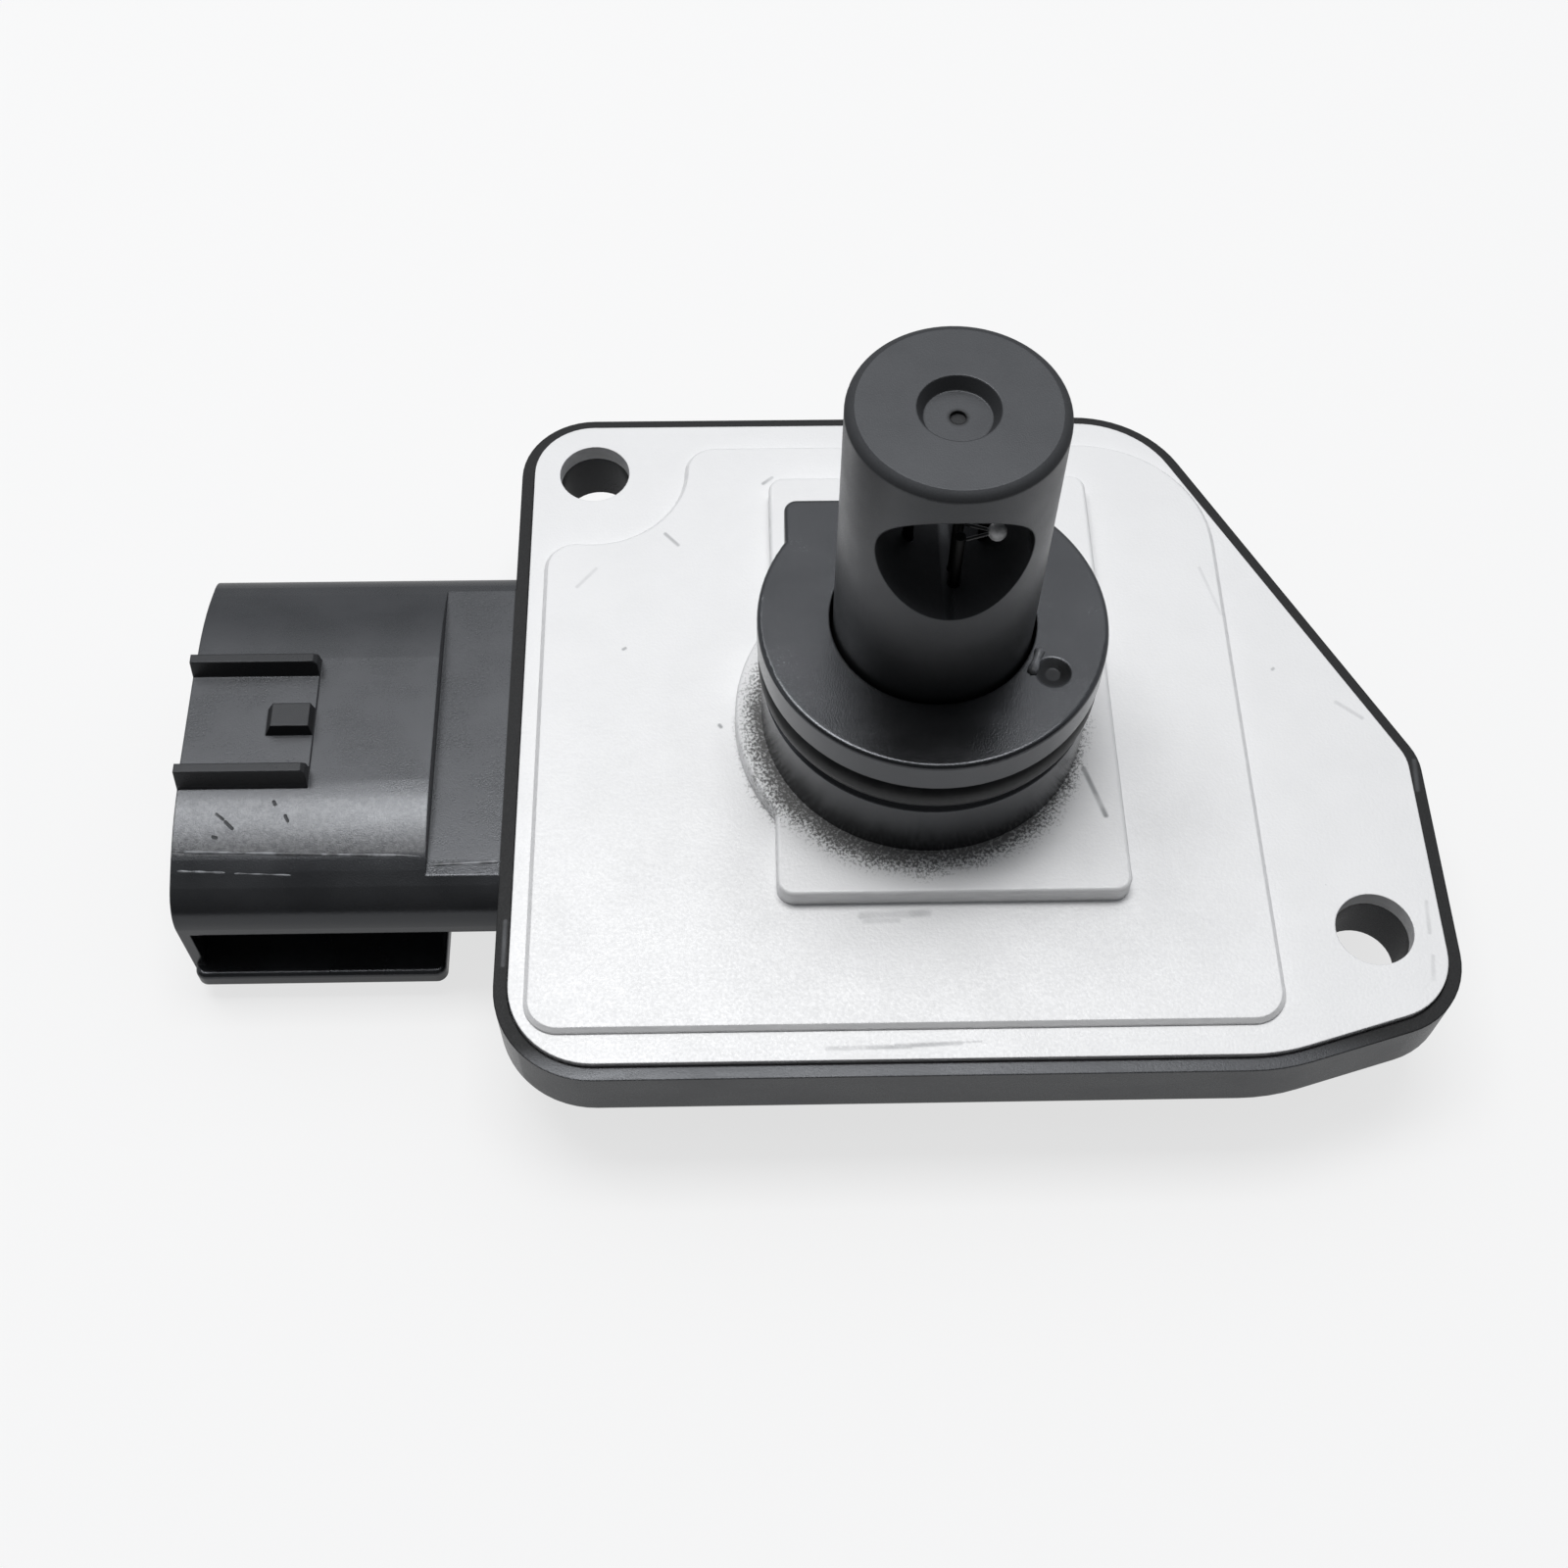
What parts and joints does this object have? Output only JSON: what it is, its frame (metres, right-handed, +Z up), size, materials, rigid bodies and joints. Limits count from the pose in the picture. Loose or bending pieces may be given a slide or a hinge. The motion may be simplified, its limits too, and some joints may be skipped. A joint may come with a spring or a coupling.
{
  "type": "mass airflow sensor",
  "caption": "Slot-in mass airflow sensor: flanged plastic housing with side connector, metal base plate, sealed spigot and probe tube with a cross passage.",
  "frame": {"origin": "on the axis of the probe and its spigot, at the level of the metal plate's mounting face", "axes": "+Z up along the probe, away from the plate; +X away from the connector, along the housing; +Y across it, towards the ear with a bolt hole"},
  "size_m": [0.0903, 0.0575, 0.047],
  "materials": {
    "housing_black": "satin moulded, black, glass filled",
    "cover_black": "satin moulded, black",
    "bush_black": "satin moulded, black",
    "tube_black": "satin moulded, black",
    "cast_plate": "fine matt cast, very pale",
    "sealant": "cured silicone",
    "ring_rubber": "satin rubber",
    "carrier_plastic": "matt moulded, black",
    "pin_steel": "drawn wire, satin",
    "element_coat": "glass coated ceramic",
    "bead_coat": "glass bead, pale",
    "board_laminate": "pale ceramic substrate",
    "chip_black": "matt epoxy",
    "capacitor_coat": "tan ceramic",
    "terminal_tin": "tinned, satin"
  },
  "bodies": {
    "root": {"air_bead": "bead_coat", "air_pin_back": "pin_steel", "air_pin_front": "pin_steel", "base_plate": "cast_plate", "capacitor_1": "capacitor_coat", "capacitor_2": "capacitor_coat", "capacitor_3": "capacitor_coat", "circuit_board": "board_laminate", "cold_element": "element_coat", "cold_pin_left": "pin_steel", "cold_pin_right": "pin_steel", "control_chip": "chip_black", "cover_sealant": "sealant", "driver_chip": "chip_black", "hot_element": "element_coat", "hot_pin_left": "pin_steel", "hot_pin_right": "pin_steel", "housing": "housing_black", "pin_carrier": "carrier_plastic", "plate_sealant": "sealant", "probe_tube": "tube_black", "rear_cover": "cover_black", "ring_seal": "ring_rubber", "spigot_bush": "bush_black", "terminal_1": "terminal_tin", "terminal_2": "terminal_tin", "terminal_3": "terminal_tin", "terminal_4": "terminal_tin", "terminal_5": "terminal_tin"}
  },
  "joints": []
}
